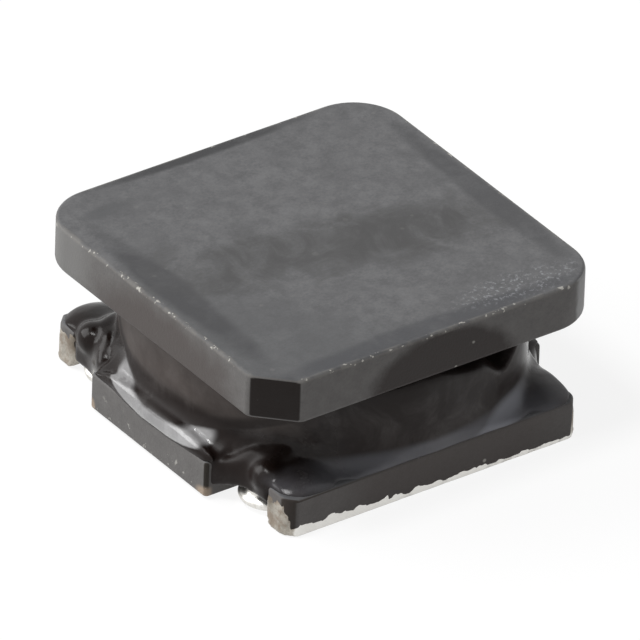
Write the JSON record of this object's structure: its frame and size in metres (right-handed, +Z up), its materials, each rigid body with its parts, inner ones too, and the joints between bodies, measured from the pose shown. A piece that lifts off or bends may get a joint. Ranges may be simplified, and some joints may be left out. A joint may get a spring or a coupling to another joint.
{
  "type": "shielded surface-mount inductor",
  "caption": "Square resin-coated drum-core inductor for surface mounting: ferrite flanges around a sealed copper coil, with plated terminals and soldered wire ends underneath.",
  "frame": {"origin": "centre of the footprint on the board plane, under the centre post", "axes": "+Z up from the board through the post; -X is the side that both wire ends leave from; the terminal strips and wire grooves run along X; -Y is the front long side"},
  "size_m": [0.006, 0.006, 0.0027],
  "materials": {
    "ferrite": "matte sintered ferrite, smoky grey",
    "enamelled_wire": "clear enamel over copper",
    "magnetic_resin": "glossy cast resin filled with magnetic powder",
    "terminal_plating": "matte tin plating",
    "solder": "bright solder"
  },
  "bodies": {
    "root": {"drum_core": "ferrite", "winding": "enamelled_wire", "resin_coating": "magnetic_resin", "terminal_front": "terminal_plating", "terminal_rear": "terminal_plating", "solder_front": "solder", "solder_rear": "solder"}
  },
  "joints": []
}
